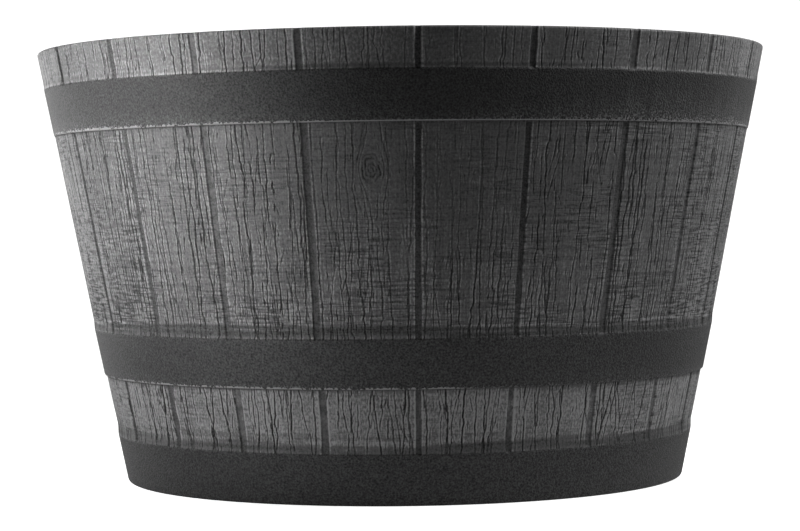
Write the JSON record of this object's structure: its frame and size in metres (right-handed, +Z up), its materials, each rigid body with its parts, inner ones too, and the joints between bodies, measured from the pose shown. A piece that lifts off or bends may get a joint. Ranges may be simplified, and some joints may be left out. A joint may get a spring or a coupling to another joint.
{
  "type": "barrel planter",
  "caption": "Round moulded planter shaped like a half barrel, with stave and hoop relief outside, a hollow inside for soil, and lift-out plugs in the drain holes of its floor.",
  "frame": {"origin": "middle of the ring that the tub stands on, at ground level", "axes": "+Z up along the tub's axis, -Y towards the viewer (the front in the picture), +X to the viewer's right"},
  "size_m": [0.52, 0.52, 0.305],
  "materials": {
    "resin": "charcoal grey moulded resin, weathered-wood relief with lighter dry-brushed high spots",
    "plug_rubber": "matt black soft rubber"
  },
  "bodies": {
    "tub": {"tub": "resin"},
    "drain_plug_middle": {"drain_plug_middle": "plug_rubber"},
    "drain_plug_right": {"drain_plug_right": "plug_rubber"},
    "drain_plug_back": {"drain_plug_back": "plug_rubber"},
    "drain_plug_left": {"drain_plug_left": "plug_rubber"},
    "drain_plug_front": {"drain_plug_front": "plug_rubber"}
  },
  "joints": [
    {"name": "drain_plug_middle_lift", "type": "slide", "parent": "tub", "child": "drain_plug_middle", "axis": [0, 0, 1], "range_m": [0, 0.32]},
    {"name": "drain_plug_right_lift", "type": "slide", "parent": "tub", "child": "drain_plug_right", "axis": [0, 0, 1], "range_m": [0, 0.32]},
    {"name": "drain_plug_back_lift", "type": "slide", "parent": "tub", "child": "drain_plug_back", "axis": [0, 0, 1], "range_m": [0, 0.32]},
    {"name": "drain_plug_left_lift", "type": "slide", "parent": "tub", "child": "drain_plug_left", "axis": [0, 0, 1], "range_m": [0, 0.32]},
    {"name": "drain_plug_front_lift", "type": "slide", "parent": "tub", "child": "drain_plug_front", "axis": [0, 0, 1], "range_m": [0, 0.32]}
  ]
}
